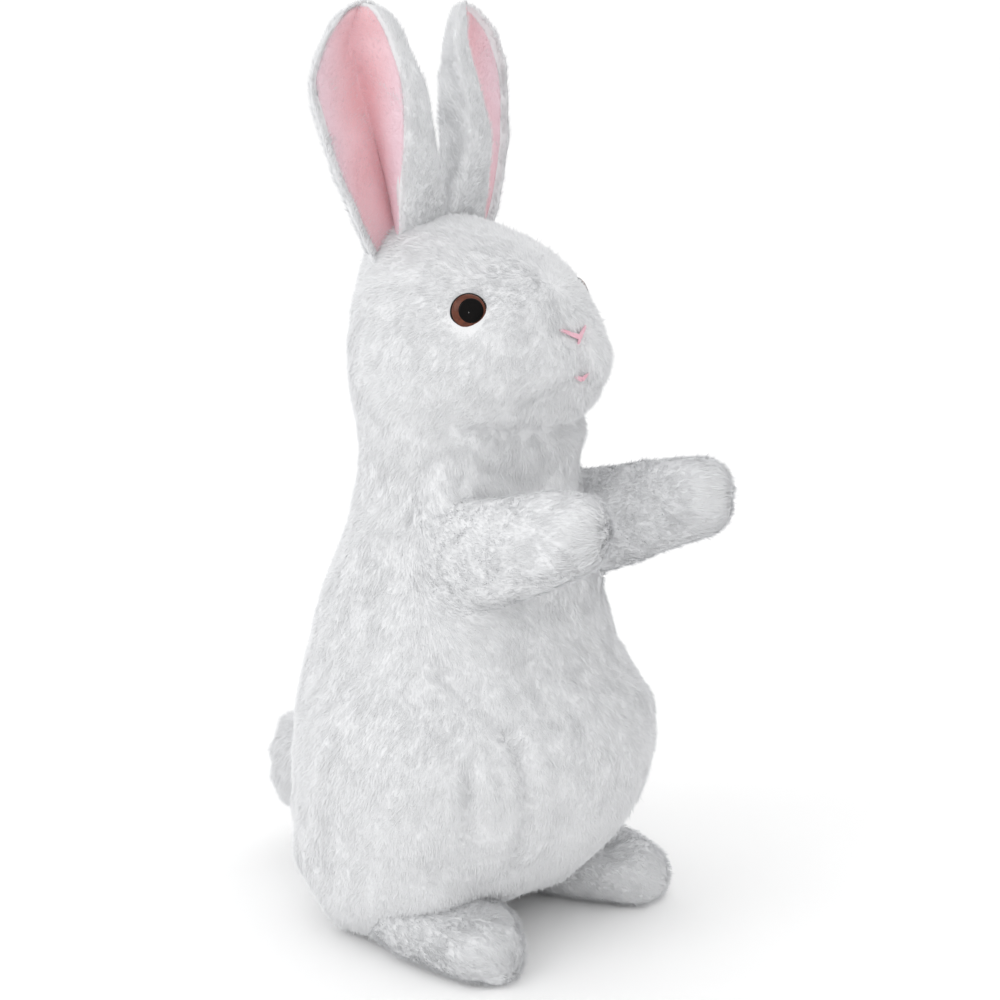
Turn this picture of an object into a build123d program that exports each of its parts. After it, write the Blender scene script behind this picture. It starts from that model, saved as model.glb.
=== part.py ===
from build123d import *
import math
import os

# Stuffed plush rabbit standing upright, in millimetres. +Z is up, the rabbit faces -Y and its left
# is +X. The origin is on the flat base that it stands on.
# The skin is sewn from plush panels over separate stuffing masses; the head, arms and ears bend
# at their seams.

# ---- plush and clearances
PLUSH = 3.0            # backing cloth plus pile
SOLE = 3.0             # base panel and foot soles
GAP = 0.3              # between pieces that move against each other
SWEEP_GAP = 0.9        # round the path of an arm inside the torso

# ---- torso: (height, centre y, radius) of its round sections
TORSO = [
    (0, 22, 27), (10, 11, 45), (22, 2, 55), (36, -3, 61.5), (54, -8, 66), (76, -10.5, 66),
    (100, -6, 57.5), (125, -5, 50), (150, -8, 43), (170, -10, 40.8), (181, -10, 40.5),
]
NECK_Z = 181.0
NECK_Y = -10.0
HAUNCH_AT = (36, -6, 30)
HAUNCH_R = (27, 44, 31)
BELLY_SEAM_X = 44.0    # half width of the belly panel
BELLY_SEAM_Z = 92.0    # its middle
BELLY_SEAM_H = 80.0    # half its height
BELLY_SEAM_Y = -14.0   # how far back the panel reaches
PELLET_R = 36.0
PELLET_H = 16.0
PELLET_Y = 4.0
PELLET_Z = 34.0

# ---- head: (height, centre y, radius, width over depth)
HEAD = [
    (181, -10, 40.5, 1.0), (186, -10, 41.5, 1.0), (194, -12.5, 44.8, 0.98), (205, -13, 46, 0.96),
    (216, -12, 44.5, 0.95), (227, -10, 41, 0.95), (238, -5.5, 34.5, 0.95), (246, -0.5, 25.5, 0.95),
    (252, 4, 9, 0.95),
]
GUSSET_W = 26.0        # strip over the crown, from nose to nape
CHIN_Z = 197.0         # top of the chin panel
CHIN_Y = -20.0         # how far back it reaches
CROWN_MIN_R = 3.0      # smallest section left at the top of the stuffing

# ---- eyes, nose and mouth
EYE_AT = (31.6, -35.5, 225.2)
EYE_OUT = (0.74, -0.60, 0.30)
EYE_R = 6.3
EYE_H = 3.6
POST_R = 2.0
POST_L = 13.0
WASHER_R = 8.0
WASHER_T = 1.6
WASHER_IN = 4.6        # depth of the washer below the surface
THREAD_R = 0.9
NOSE_Z = 215.0
NOSE_HALF_W = 5.5
NOSE_RISE = 2.5
NOSE_DROP = 7.0
MOUTH_Z = 201.0
MOUTH_HALF_W = 4.5
MOUTH_RISE = 1.5

# ---- arms
SHOULDER = (38.5, -14.0, 143.0)
PAW = (34.5, -85.0, 161.0)
ARM_UP = 12.0
ARM_DOWN = 30.0
ARM_TALL = (20.5, 20.5, 18.0, 15.0)    # half heights from shoulder to paw
ARM_WIDE = (13.0, 15.0, 14.5, 13.5)    # half widths
PAW_CAP = 15.0
HUB_FILLET = 6.0
ARM_REACH = 70.0                       # length of the pocket that the arm turns in
ARM_POCKET_X = 20.0                    # inner wall of that pocket

# ---- ears
EAR_HINGE = (16.5, 5.0, 251.0)
EAR_LEAN = 7.5         # outwards, degrees
EAR_BACK = 8.5         # backwards, degrees
EAR_TURN = 46.0        # its opening, outwards from straight ahead
EAR_ROOT_R = 6.0
EAR_ROOT_L = 20.0
EAR_BEND_R = 26.0      # radius that the ear is cupped to
EAR_OUTLINE = [(9, 3), (17, 22), (20.5, 42), (17.5, 58), (9.5, 69)]
EAR_TIP = 74.0
EAR_BACK_T = 3.0
EAR_LINING_T = 2.0
EAR_RIM = 4.5          # white border round the lining

# ---- feet and tail
FOOT_AT = (37.0, -27.0)
FOOT_R = (25.0, 45.0, 23.0)
FOOT_TOE_OUT = 13.0
FOOT_RAISE = 1.0
TAIL_AT = (0, 70, 36)
TAIL_R = (18.0, 20.0, 22.0)

FAR = 400.0
OUT = "parts"


def save(name, shape):
    shape.label = name
    export_step(shape, os.path.join(OUT, name + ".step"))


def ball(radii):
    return scale(Sphere(1), by=tuple(float(r) for r in radii))


def ellipsoid(at, radii):
    return Pos(*at) * ball(radii)


def slab(z_low, z_high):
    """Everything between two heights."""
    height = z_high - z_low
    return Pos(0, 0, z_low) * Box(FAR, FAR, height, align=(Align.CENTER, Align.CENTER, Align.MIN))


def half_space(side):
    """Everything on one side of the rabbit's middle plane; side is 1 for its left."""
    return Pos(side * FAR / 2, 0, 0) * Box(FAR, FAR, 2 * FAR)


def torso_solid(inset):
    """The torso's outer form, or its inside when inset is the skin's thickness."""
    sections = []
    for z, y, r in TORSO:
        sections.append(Pos(0, y, z) * Circle(r - inset))
    solid = loft(sections)
    for side in (-1, 1):
        haunch = ellipsoid(mirrored(side, HAUNCH_AT), [r - inset for r in HAUNCH_R])
        solid += haunch & slab(0, FAR)
    return solid


def head_solid(inset):
    sections = []
    for z, y, r, slim in HEAD[:-1]:
        sections.append(Pos(0, y, z) * Ellipse((r - inset) * slim, r - inset))
    z, y, r, slim = HEAD[-1]
    small = max(r - inset, CROWN_MIN_R)
    sections.append(Pos(0, y, z - inset) * Ellipse(small * slim, small))
    return loft(sections)


def mirrored(side, point):
    return (side * point[0], point[1], point[2])


def arm_solid(side, inset):
    """Turned shoulder plus a tapering sleeve with a round paw."""
    root = Vector(*mirrored(side, SHOULDER))
    paw = Vector(*mirrored(side, PAW))
    along = (paw - root).normalized()
    across = Vector(1, 0, 0)
    sections = []
    count = len(ARM_TALL) - 1
    for i in range(count + 1):
        centre = root + (paw - root) * (i / count)
        plane = Plane(origin=centre, x_dir=across, z_dir=along)
        sections.append(plane * Ellipse(ARM_WIDE[i] - inset, ARM_TALL[i] - inset))
    sleeve = loft(sections)
    cap_plane = Plane(origin=paw, x_dir=across, z_dir=along)
    radii = (ARM_WIDE[-1] - inset, ARM_TALL[-1] - inset, PAW_CAP - inset)
    cap = cap_plane * ball(radii)
    hub = Pos(*root) * Rot(0, 90, 0) * Cylinder(ARM_TALL[0] - inset, 2 * (ARM_WIDE[0] - inset))
    hub = fillet(hub.edges().filter_by(GeomType.CIRCLE), HUB_FILLET - inset / 2)
    return sleeve + cap + hub


def arm_path(side):
    """Room for the arm to turn about the shoulder, inside the torso."""
    root = Vector(*mirrored(side, SHOULDER))
    rise = math.degrees(math.atan2(PAW[2] - SHOULDER[2], SHOULDER[1] - PAW[1]))
    half = ARM_TALL[0] + SWEEP_GAP
    corners = []
    for angle, edge in ((rise + ARM_UP, half), (rise - ARM_DOWN, -half)):
        turn = math.radians(angle)
        near = (-edge * math.sin(turn), edge * math.cos(turn))
        far = (near[0] + ARM_REACH * math.cos(turn), near[1] + ARM_REACH * math.sin(turn))
        corners.append((near, far))
    (up_near, up_far), (low_near, low_far) = corners
    # local x runs forwards and local y runs up
    plane = Plane(origin=root, x_dir=(0, -1, 0), z_dir=(-1, 0, 0))
    fan = plane * (Circle(half) + make_face(Polyline(up_near, up_far, low_far, low_near, close=True)))
    inner = abs(root.X) - ARM_POCKET_X
    outer = FAR / 4
    solid = extrude(fan, amount=inner if side > 0 else outer)
    solid += extrude(fan, amount=-(outer if side > 0 else inner))
    return solid


def ear_layer(side, near, far, rim):
    """One layer of the cupped ear, between two distances from its back surface."""
    outline = []
    for u, v in EAR_OUTLINE:
        outline.append((u - rim, v + (rim if v < EAR_OUTLINE[1][1] else 0)))
    left = []
    for u, v in reversed(outline):
        left.append((-u, v))
    curve = Spline(*outline, (0, EAR_TIP - rim), *left)
    petal = make_face(curve + Line(left[-1], outline[0]))
    sheet = Rot(90, 0, 0) * petal
    block = extrude(sheet, amount=EAR_BEND_R, both=True)
    cup_outer = Pos(0, -EAR_BEND_R, EAR_TIP / 2) * Cylinder(EAR_BEND_R - near, 2 * EAR_TIP)
    cup_inner = Pos(0, -EAR_BEND_R, EAR_TIP / 2) * Cylinder(EAR_BEND_R - far, 2 * EAR_TIP)
    layer = block & (cup_outer - cup_inner)
    layer &= Pos(0, -EAR_BEND_R / 2, EAR_TIP / 2) * Box(FAR, EAR_BEND_R, FAR)
    return ear_place(side) * layer


def ear_place(side):
    lean = Rot(-EAR_BACK, 0, 0) * Rot(0, side * EAR_LEAN, 0) * Rot(0, 0, side * EAR_TURN)
    return Pos(*mirrored(side, EAR_HINGE)) * lean


def ear_root(side, gap):
    place = Pos(*mirrored(side, EAR_HINGE)) * Rot(0, 90, 0)
    return place * Cylinder(EAR_ROOT_R + gap, EAR_ROOT_L + 2 * gap)


def eye_parts(side):
    """A domed button with its post, and the lock washer pushed onto the post."""
    plane = Plane(origin=mirrored(side, EYE_AT), z_dir=mirrored(side, EYE_OUT))
    dome = ball((EYE_R, EYE_R, EYE_H)) & Pos(0, 0, FAR / 2) * Box(FAR, FAR, FAR)
    post = Pos(0, 0, -POST_L) * Cylinder(POST_R, POST_L, align=(Align.CENTER, Align.CENTER, Align.MIN))
    disc = Cylinder(WASHER_R, WASHER_T) - Cylinder(POST_R, WASHER_T)
    return plane * (dome + post), plane * (Pos(0, 0, -WASHER_IN) * disc)


def head_front(x, z):
    """The point of the head's front surface at a given x and height."""
    for low, high in zip(HEAD, HEAD[1:]):
        if low[0] <= z <= high[0]:
            part = (z - low[0]) / (high[0] - low[0])
            y, r, slim = (a + (b - a) * part for a, b in zip(low[1:], high[1:]))
            return (x, y - r * math.sqrt(1 - (x / (r * slim)) ** 2), z)
    raise ValueError("height outside the head")


def stitch(start, end):
    """A straight bundle of thread with round ends."""
    a, b = Vector(*head_front(*start)), Vector(*head_front(*end))
    rod = Plane(origin=a, z_dir=b - a) * Cylinder(
        THREAD_R, (b - a).length, align=(Align.CENTER, Align.CENTER, Align.MIN))
    return rod + Pos(*a) * Sphere(THREAD_R) + Pos(*b) * Sphere(THREAD_R)


def nose():
    wings = [stitch((0, NOSE_Z), (s * NOSE_HALF_W, NOSE_Z + NOSE_RISE)) for s in (-1, 1)]
    return wings[0] + wings[1] + stitch((0, NOSE_Z), (0, NOSE_Z - NOSE_DROP))


def mouth():
    wings = [stitch((0, MOUTH_Z), (s * MOUTH_HALF_W, MOUTH_Z + MOUTH_RISE)) for s in (-1, 1)]
    return wings[0] + wings[1]


def foot_solid(side, inset):
    x, y = FOOT_AT
    radii = [r - inset for r in FOOT_R]
    place = Pos(side * x, y, FOOT_RAISE) * Rot(0, 0, side * FOOT_TOE_OUT)
    return (place * ball(radii)) & slab(0, FAR)


def build():
    os.makedirs(OUT, exist_ok=True)
    sides = (("left", 1), ("right", -1))

    feet = {name: foot_solid(side, 0) for name, side in sides}
    both_feet = feet["left"] + feet["right"]
    pockets = arm_path(1) + arm_path(-1)
    tail = ellipsoid(TAIL_AT, TAIL_R)

    # torso skin
    below_neck = slab(0, NECK_Z - GAP / 2)
    outer = (torso_solid(0) & below_neck) - both_feet - pockets
    inner = torso_solid(PLUSH) & slab(SOLE, NECK_Z)
    skin = outer - inner
    base = skin & slab(0, SOLE)
    wall = skin & slab(SOLE, NECK_Z)
    oval = extrude(Ellipse(BELLY_SEAM_X, BELLY_SEAM_H), amount=FAR / 2, both=True)
    front = Pos(0, BELLY_SEAM_Y - FAR / 2, BELLY_SEAM_Z) * Rot(90, 0, 0) * oval
    save("base_panel", base)
    save("belly_panel", wall & front)
    for name, side in sides:
        save("back_panel_" + name, (wall - front) & half_space(side))

    # torso stuffing and the pellet bag that weights it
    pellets = ellipsoid((0, PELLET_Y, PELLET_Z), (PELLET_R, PELLET_R, PELLET_H))
    pellets -= both_feet
    stuffing = (inner & below_neck) - both_feet - pockets - pellets
    save("pellet_bag", pellets)
    save("torso_stuffing", stuffing)

    # tail
    tail_inner = ellipsoid(TAIL_AT, [r - PLUSH for r in TAIL_R])
    save("tail_cover", tail - tail_inner - torso_solid(0))
    save("tail_stuffing", tail_inner - torso_solid(0))

    # feet
    for name, side in sides:
        core = foot_solid(side, PLUSH) & slab(SOLE, FAR)
        save(name + "_foot_sole", feet[name] & slab(0, SOLE))
        save(name + "_foot_top", (feet[name] - core) & slab(SOLE, FAR))
        save(name + "_foot_stuffing", core)

    # eyes, nose and mouth
    sockets = None
    for name, side in sides:
        eye, washer = eye_parts(side)
        save(name + "_eye", eye)
        save(name + "_eye_washer", washer)
        hole = eye + washer
        sockets = hole if sockets is None else sockets + hole
    face = {"nose_stitching": nose(), "mouth_stitching": mouth()}
    for name, shape in face.items():
        save(name, shape)
        sockets += shape

    # head skin and stuffing
    above_neck = slab(NECK_Z + GAP / 2, FAR)
    ear_rooms = ear_root(1, GAP) + ear_root(-1, GAP)
    head_outer = (head_solid(0) & above_neck) - ear_rooms - sockets
    head_inner = head_solid(PLUSH) & above_neck
    cover = head_outer - head_inner
    chin_zone = slab(0, CHIN_Z) & (Pos(0, CHIN_Y - FAR / 2, 0) * Box(FAR, FAR, FAR * 2))
    strip = Box(GUSSET_W, FAR, 2 * FAR)
    save("chin_panel", cover & chin_zone)
    save("head_gusset", (cover - chin_zone) & strip)
    for name, side in sides:
        save("head_side_" + name, (cover - chin_zone - strip) & half_space(side))
    save("head_stuffing", head_inner - ear_rooms - sockets)

    # arms
    for name, side in sides:
        whole = arm_solid(side, 0)
        core = arm_solid(side, PLUSH)
        root, paw = Vector(*mirrored(side, SHOULDER)), Vector(*mirrored(side, PAW))
        seam = Plane(origin=root, x_dir=(paw - root).normalized(), z_dir=(side, 0, 0.001))
        outside = seam * Pos(0, 0, FAR / 2) * Box(FAR, FAR, FAR)
        shell = whole - core
        save(name + "_arm_outer", shell & outside)
        save(name + "_arm_inner", shell - outside)
        save(name + "_arm_stuffing", core)

    # ears
    for name, side in sides:
        back = ear_layer(side, 0, EAR_BACK_T, 0) + ear_root(side, 0)
        lining = ear_layer(side, EAR_BACK_T, EAR_BACK_T + EAR_LINING_T, EAR_RIM) - ear_root(side, 0)
        save(name + "_ear_back", back)
        save(name + "_ear_lining", lining)


build()
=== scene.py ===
import math

import bpy
import numpy as np
from mathutils import Matrix, Vector
from mathutils.bvhtree import BVHTree
from mathutils.kdtree import KDTree


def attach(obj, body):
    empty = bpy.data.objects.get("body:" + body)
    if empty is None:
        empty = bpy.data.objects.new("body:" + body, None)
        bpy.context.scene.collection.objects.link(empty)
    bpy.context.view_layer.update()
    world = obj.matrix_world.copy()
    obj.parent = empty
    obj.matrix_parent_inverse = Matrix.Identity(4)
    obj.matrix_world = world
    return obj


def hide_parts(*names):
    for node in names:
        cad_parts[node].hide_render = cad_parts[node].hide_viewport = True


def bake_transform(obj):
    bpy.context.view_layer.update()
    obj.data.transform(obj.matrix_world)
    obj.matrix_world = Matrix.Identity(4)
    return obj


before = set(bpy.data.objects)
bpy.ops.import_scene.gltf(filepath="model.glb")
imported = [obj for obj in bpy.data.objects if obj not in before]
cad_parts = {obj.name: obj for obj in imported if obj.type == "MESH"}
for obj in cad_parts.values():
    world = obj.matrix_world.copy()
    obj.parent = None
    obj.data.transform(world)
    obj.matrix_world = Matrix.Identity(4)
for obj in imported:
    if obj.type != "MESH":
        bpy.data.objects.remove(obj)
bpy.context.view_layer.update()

MM = 0.001
SIDES = (("left", 1), ("right", -1))

# ---------------------------------------------------------------- sizes, in millimetres
# The rabbit faces -Y and its left is +X. All sizes are to the outside of the pile.
# Stations are (height, centre y, radius, width over depth).
TORSO = [
    (0, 22, 27, 1.0), (10, 11, 45, 1.0), (22, 2, 55, 1.0), (36, -3, 61.5, 1.0), (54, -8, 66, 1.0),
    (76, -10.5, 66, 1.0), (100, -6, 57, 1.0), (125, -4.4, 50.6, 1.0), (150, -7.9, 42.8, 1.0),
    (168, -9.8, 39.8, 1.0), (180, -9.2, 39.4, 1.0), (187, -9.2, 37.6, 1.0), (192, -9, 30, 1.0),
]
HAUNCH_AT = (37, -3, 29.5)
HAUNCH_R = (28.5, 41.5, 31.5)
HEEL_AT = (38, 3, 14)
HEEL_R = (22, 25, 18)
SHOULDER_AT = (33, -27, 141.5)
SHOULDER_R = (14.8, 25, 22.5)
HEAD = [
    (158, -9.5, 32, 1.0), (164, -9.5, 36.4, 1.0), (171, -9.3, 37.8, 1.0), (178, -9, 38.7, 1.0),
    (184, -9, 39.6, 1.0), (189, -9.8, 41.4, 0.99), (195, -11.6, 43.9, 0.98), (205, -12.8, 45.8, 0.96),
    (216, -11.8, 44.1, 0.95), (227, -9.6, 40.6, 0.95), (238, -4.6, 33.6, 0.95),
    (246, 0.4, 24.4, 0.95), (251, 3.8, 13, 0.95), (252.5, 4.5, 5, 0.95),
]
# (y, centre x, half width, centre z, half height), from inside the torso to the paw
ARM = [
    (-1, 25, 4, 139, 7), (-6, 28, 8.5, 139.5, 14), (-14, 31, 11.2, 140.5, 18.5),
    (-26, 32.6, 12.7, 142, 20.8), (-40, 33.6, 14.0, 144.5, 20.7), (-55, 35, 14.6, 149.3, 19.3),
    (-70, 34.5, 15.0, 155, 18.2), (-82, 34, 14.6, 158.2, 16.4), (-89, 33.6, 12.6, 159.8, 13.6),
    (-92.6, 33.3, 8.6, 161, 9.2), (-94, 33, 3.5, 161.3, 3.5),
]
# (y, centre x, half width, height), from the heel to the toe
FOOT = [
    (8, 33, 6, 8), (2, 33.5, 14, 16), (-8, 34, 21, 22), (-18, 35.3, 24.6, 25.5), (-31, 37, 23.3, 25.5),
    (-43, 39.5, 20.4, 24), (-50, 41, 18.4, 23), (-56, 41.8, 15.6, 21.3), (-60.5, 42.2, 11.6, 18.5),
    (-63, 42.4, 6, 12.5),
]
FOOT_SQUARENESS = 2.5  # 2 would be an ellipse
# (height, rim, valley, front edge, medial bulge), each edge as (x, y)
EAR = [
    (237, (28, 8), (12, 8), (21, 5), (1.2, 2)),
    (246, (33, 9), (13, 10), (21.5, 4), (1.2, 1.5)),
    (255.5, (37.8, 9.4), (14.5, 12.5), (22, 2.5), (1.2, 0.5)),
    (267, (42.9, 11), (16.5, 15), (22.5, 1), (5.2, -1)),
    (279, (46.7, 12.8), (19, 17), (22, 0), (8.5, -1)),
    (297, (49.5, 15.5), (23, 20.5), (19, 3.5), (10, 3)),
    (310.5, (44, 15), (26.5, 21.5), (19.5, 8.5), (12.5, 8)),
    (317.5, (38, 15.3), (27, 19), (22, 10.5), (16, 10)),
    (321.5, (32, 15.3), (27, 16.8), (24, 12.8), (20.5, 12.8)),
]
EAR_TIP = (26.3, 15, 323.3)
EAR_HINGE = (16.5, 5, 251)
EAR_THICK = 3.2
LINING_RIM = 3.5       # white border beside the lining
LINING_EDGE = 0.8      # from the front edge of the ear to the lining
LINING_THICK = 1.5
LINING_COLS = 40
LINING_CLEAR = 1.4     # white pile keeps this far from the lining
TAIL_AT = (0, 70, 36)
TAIL_R = (18.5, 20.5, 23.5)
EYE_AT = (30.4, -34.9, 225.2)
EYE_OUT = (0.74, -0.60, 0.30)
EYE_R = 6.2
IRIS_R = 5.6
PUPIL_R = 4.1
PUPIL_SHIFT = 0.8      # towards the nose
IRIS_LIFT = 0.06       # over the dome of the eye
PUPIL_LIFT = 0.12
EYE_DEEP = -4.0        # how far the eye goes in
EYE_DOME = 2.4
EYE_STANDS = 1.1       # top of the eye above the backing cloth
NOSE_AT = (0, 215.5)   # x and height
MOUTH_AT = (0, 201.4)
THREAD_R = 0.32
THREAD_ROWS = 14
PILE = 3.3             # length of the plush pile
PILE_DENSITY = 3.3     # hairs on a square millimetre
PILE_LEAN = 1.17       # radians from standing straight up
PILE_WIDTH = 0.34      # of a hair at its root
PILE_SWIRL = 0.15      # radians that the pile wanders from its combed way
SKIN_DROP = 1.2        # the backing cloth lies this far inside the outline that the pile reaches
CHIN_FOLD = [(36, -28, 185), (24, -42, 184), (0, -50, 183.5), (-24, -42, 184), (-36, -28, 185)]
CHIN_GROOVE = (3.0, 3.0)   # width and depth
RESOLUTION = 1.7       # of the skins
VOXEL = 3.5            # of the welded skins before they are stuffed
LIMB_VOXEL = VOXEL * 0.8
PRESSURE = 4.0
CLOTH_FRAMES = 14
SEAM_HOLD = 5.0        # width of cloth that a seam holds down
TORSO_TOP = 178        # the torso's cloth is held from here up, inside the neck
HEAD_FOOT = 184        # the head's cloth is held from here down
ARM_ROOT_Y = -14       # an arm's cloth is held behind this
THINNEST = 0.8         # least half width and half height of a limb's section
SWELL = 2.0            # most that the stuffing moves the cloth
HEAD_SWELL = SWELL * 0.8
LIMB_SWELL = SWELL * 0.5
HALF_SWOLLEN = 0.4     # share of that swelling left out of a skin before it is stuffed
HEAD_DROP = -0.2       # the head's skin before it is stuffed, inside its outline
STRAY = 0.05           # share of hairs that stand up out of the pile
SHORTEST_HAIR = 0.35
FLOOR_GAP = 0.1        # hairs lie down on the floor from this height
SOLE_Z = 0.4           # height of the cloth where the toy rests
HAIR_FLAT = 0.22       # height of a hair's section for its width


# ---------------------------------------------------------------- noise and splines
def waves(seed, size, count=10):
    """Smooth noise as a sum of sine waves about size mm long: returns a function of points."""
    rng = np.random.default_rng(seed)
    aim = rng.normal(size=(count, 3))
    aim /= np.linalg.norm(aim, axis=1)[:, None]
    k = aim * (2 * math.pi / size) * rng.uniform(0.6, 1.5, size=(count, 1))
    phase = rng.uniform(0, 2 * math.pi, size=count)

    def value(p):
        out = np.zeros(len(p))
        for ki, ph in zip(k, phase):
            out += np.sin(p @ ki + ph)
        return out * math.sqrt(2 / count)

    return value


def catmull(points, samples, closed=False):
    """A smooth curve through points, as samples rows, evenly spaced along its length."""
    p = np.asarray(points, float)
    ends = (p[-1:], p[:2]) if closed else (2 * p[:1] - p[1:2], 2 * p[-1:] - p[-2:-1])
    q = np.concatenate([ends[0], p, ends[1]])
    fine = []
    for i in range(1, len(q) - 2):
        t = np.linspace(0, 1, 24, endpoint=False)[:, None]
        a, b, c, d = q[i - 1], q[i], q[i + 1], q[i + 2]
        fine.append(0.5 * (2 * b + (c - a) * t + (2 * a - 5 * b + 4 * c - d) * t * t
                           + (3 * b - a - 3 * c + d) * t ** 3))
    fine.append(q[-2:-1])
    fine = np.concatenate(fine)
    along = np.r_[0, np.cumsum(np.linalg.norm(np.diff(fine[:, :3], axis=0), axis=1))]
    want = np.linspace(0, along[-1], samples)
    return np.stack([np.interp(want, along, fine[:, k]) for k in range(p.shape[1])], 1)


# ---------------------------------------------------------------- a form that can be sculpted
class Form:
    """A closed surface in millimetres, shaped by moving its points."""

    def __init__(self, points, quads, tris):
        self.p = points
        self.quads = quads
        self.tris = tris

    def triangles(self):
        q = self.quads
        return np.concatenate([q[:, [0, 1, 2]], q[:, [0, 2, 3]], self.tris])

    def normals(self):
        t = self.triangles()
        n = np.cross(self.p[t[:, 1]] - self.p[t[:, 0]], self.p[t[:, 2]] - self.p[t[:, 0]])
        out = np.zeros_like(self.p)
        for k in range(3):
            np.add.at(out, t[:, k], n)
        return out / np.maximum(np.linalg.norm(out, axis=1), 1e-9)[:, None]

    def push(self, at, reach, amount, along=None):
        """Swells the surface round a point; reach is one radius or one for each axis."""
        d = (self.p - np.array(at, float)) / np.array(reach, float)
        w = np.clip(1 - (d * d).sum(1), 0, None) ** 2
        way = self.normals() if along is None else np.array(along, float) / np.linalg.norm(along)
        self.p = self.p + way * (w * amount)[:, None]

    def groove(self, line, width, depth, lip=0.3):
        """Presses a seam or crease in along a line, with a soft lip each side."""
        n = self.normals()
        near, along = track(self.p, line)
        fall = np.exp(-(near / width) ** 2)
        ridge = np.exp(-((near - 2.2 * width) / width) ** 2)
        depth = depth * np.clip(np.minimum(along, 1 - along) * 5, 0, 1)
        self.p = self.p + n * (depth * (lip * ridge - fall))[:, None]

    def rumple(self, seed, size, amount):
        """Slight unevenness of hand-stuffed cloth."""
        self.p = self.p + self.normals() * (waves(seed, size)(self.p) * amount)[:, None]

    def floor(self, z):
        """Rests the form on a flat surface."""
        self.p[:, 2] = np.maximum(self.p[:, 2], z)

    def volume(self):
        t = self.triangles()
        return (self.p[t[:, 0]] * np.cross(self.p[t[:, 1]], self.p[t[:, 2]])).sum() / 6

    def flip(self):
        self.quads = self.quads[:, ::-1]
        self.tris = self.tris[:, ::-1]

    def outward(self):
        """Turns the faces of a closed form to the outside."""
        if self.volume() < 0:
            self.flip()

    def face_towards(self, at):
        if (self.normals() * (np.array(at, float) - self.p)).sum() < 0:
            self.flip()

    def smooth(self, times):
        """Evens the surface out, as stuffing does."""
        t = self.triangles()
        edges = np.concatenate([t[:, [0, 1]], t[:, [1, 2]], t[:, [2, 0]]])
        edges = np.concatenate([edges, edges[:, ::-1]])
        count = np.bincount(edges[:, 0], minlength=len(self.p))[:, None]
        for step in (0.5, -0.5) * times:
            total = np.stack([np.bincount(edges[:, 0], self.p[edges[:, 1], k], len(self.p))
                              for k in range(3)], 1)
            self.p = self.p + step * (total / count - self.p)


def track(p, line, steps=70):
    """Distance from each point to a smooth line through a few points, laid on the surface, and how far
    along the line its nearest place is, from 0 to 1."""
    best, where = np.full(len(p), 1e9), np.zeros(len(p))
    for k, q in enumerate(catmull(line, steps)):
        on = p[((p - q) ** 2).sum(1).argmin()]
        far = ((p - on) ** 2).sum(1)
        where[far < best] = k / (steps - 1)
        best = np.minimum(best, far)
    return np.sqrt(best), where


def joined(forms):
    """Several forms as one, without welding them."""
    start, points, quads, tris = 0, [], [], []
    for f in forms:
        points.append(f.p)
        quads.append(f.quads + start)
        tris.append(f.tris + start)
        start += len(f.p)
    return Form(np.concatenate(points), np.concatenate(quads), np.concatenate(tris))


def from_mesh(mesh):
    """A form from a Blender mesh of quads and triangles."""
    p = np.empty(len(mesh.vertices) * 3, np.float32)
    mesh.vertices.foreach_get("co", p)
    loops = np.empty(len(mesh.loops), np.int32)
    mesh.loops.foreach_get("vertex_index", loops)
    sizes = np.empty(len(mesh.polygons), np.int32)
    mesh.polygons.foreach_get("loop_total", sizes)
    starts = np.r_[0, np.cumsum(sizes)[:-1]]
    quads = starts[sizes == 4][:, None] + np.arange(4)
    tris = starts[sizes == 3][:, None] + np.arange(3)
    return Form(p.reshape(-1, 3).astype(float) / MM, loops[quads], loops[tris])


def subdivided(form):
    """The form with every face split in four, smoothly."""
    piece = mesh_piece("split", form.p, [form.quads, form.tris], None)
    piece.modifiers.new("split", "SUBSURF").levels = 1
    split = from_mesh(piece.evaluated_get(bpy.context.evaluated_depsgraph_get()).to_mesh())
    bpy.data.objects.remove(piece)
    return split


def stuffed(form, seams, held, grow):
    """Cloth simulation: the skin is blown up by its stuffing while its seams stay where they are.
    seams are lines on the skin, held says which other points stay, and no point moves more than
    grow mm."""
    hold = np.where(held(form.p), 1.0, 0.0)
    for line in seams:
        hold = np.maximum(hold, np.exp(-(track(form.p, line)[0] / SEAM_HOLD) ** 2))
    piece = mesh_piece("cloth", form.p, [form.quads, form.tris], None)
    group = piece.vertex_groups.new(name="held")
    for step in range(1, 11):
        pick = np.flatnonzero(np.round(hold * 10) == step)
        if len(pick):
            group.add(pick.tolist(), step / 10, "REPLACE")
    cloth = piece.modifiers.new("cloth", "CLOTH")
    cloth.point_cache.frame_end = CLOTH_FRAMES
    how = cloth.settings
    how.quality = 5
    how.mass = 0.12
    how.tension_stiffness = how.compression_stiffness = 6
    how.bending_stiffness = 0.3
    how.vertex_group_mass = "held"
    how.use_pressure = True
    how.uniform_pressure_force = PRESSURE
    how.effector_weights.gravity = 0
    for tick in range(1, CLOTH_FRAMES + 1):
        bpy.context.scene.frame_set(tick)
    blown = from_mesh(piece.evaluated_get(bpy.context.evaluated_depsgraph_get()).to_mesh())
    bpy.data.objects.remove(piece)
    bpy.context.scene.frame_set(1)
    move = blown.p - form.p
    far = np.linalg.norm(move, axis=1)[:, None]
    form.p = form.p + move * np.minimum(1, grow / np.maximum(far, 1e-6))
    return subdivided(form)


def welded(forms, voxel):
    """The union of overlapping closed forms as one even skin."""
    both = joined(forms)
    piece = mesh_piece("weld", both.p, [both.quads, both.tris], None)
    remesh = piece.modifiers.new("weld", "REMESH")
    remesh.mode = "VOXEL"
    remesh.voxel_size = voxel * MM
    form = from_mesh(piece.evaluated_get(bpy.context.evaluated_depsgraph_get()).to_mesh())
    bpy.data.objects.remove(piece)
    return form


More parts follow.
